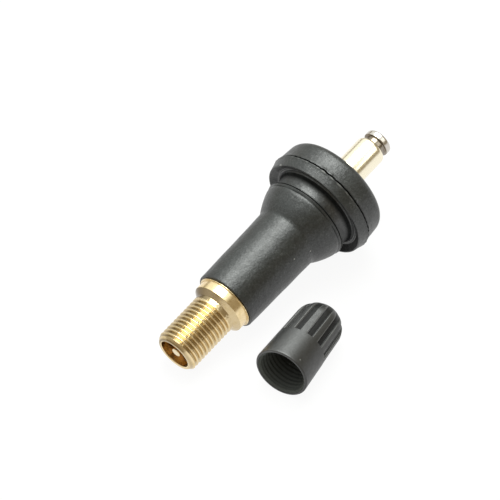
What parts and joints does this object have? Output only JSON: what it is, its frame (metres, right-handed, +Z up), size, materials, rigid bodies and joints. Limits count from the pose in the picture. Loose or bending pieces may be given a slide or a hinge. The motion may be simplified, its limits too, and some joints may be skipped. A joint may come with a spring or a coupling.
{
  "type": "tyre valve",
  "caption": "Snap-in rubber tyre valve with a brass stem, a spring-loaded core and a rod for a pressure sensor, lying with its plastic cap off.",
  "frame": {"origin": "on the surface that the valve and its cap lie on, under the middle of their outline", "axes": "+Z up, +X along the lying valve from its mouth to the head on its rod, the cap on the -Y side"},
  "size_m": [0.053, 0.0305, 0.02],
  "materials": {
    "rubber": "satin moulded rubber",
    "brass": "bright turned brass",
    "core_brass": "turned brass inside the mouth",
    "pin_brass": "bright turned brass",
    "seal": "moulded rubber",
    "seal_ring": "moulded sealing plastic",
    "spring_steel": "drawn spring wire",
    "cap_plastic": "satin moulded plastic"
  },
  "bodies": {
    "valve": {"rubber_body": "rubber", "stem": "brass", "core_plug": "core_brass", "core_barrel": "brass", "barrel_seal": "seal_ring", "core_spring": "spring_steel", "cap": "cap_plastic"},
    "plunger": {"core_pin": "pin_brass", "core_cup": "brass", "cup_seal": "seal"}
  },
  "joints": [
    {"name": "pin_press", "type": "slide", "parent": "valve", "child": "plunger", "axis": [0.9858, 0, 0.168], "range_m": [0, 0.0012], "stiffness_N_per_m": 1500, "deforming": ["core_spring"]}
  ]
}
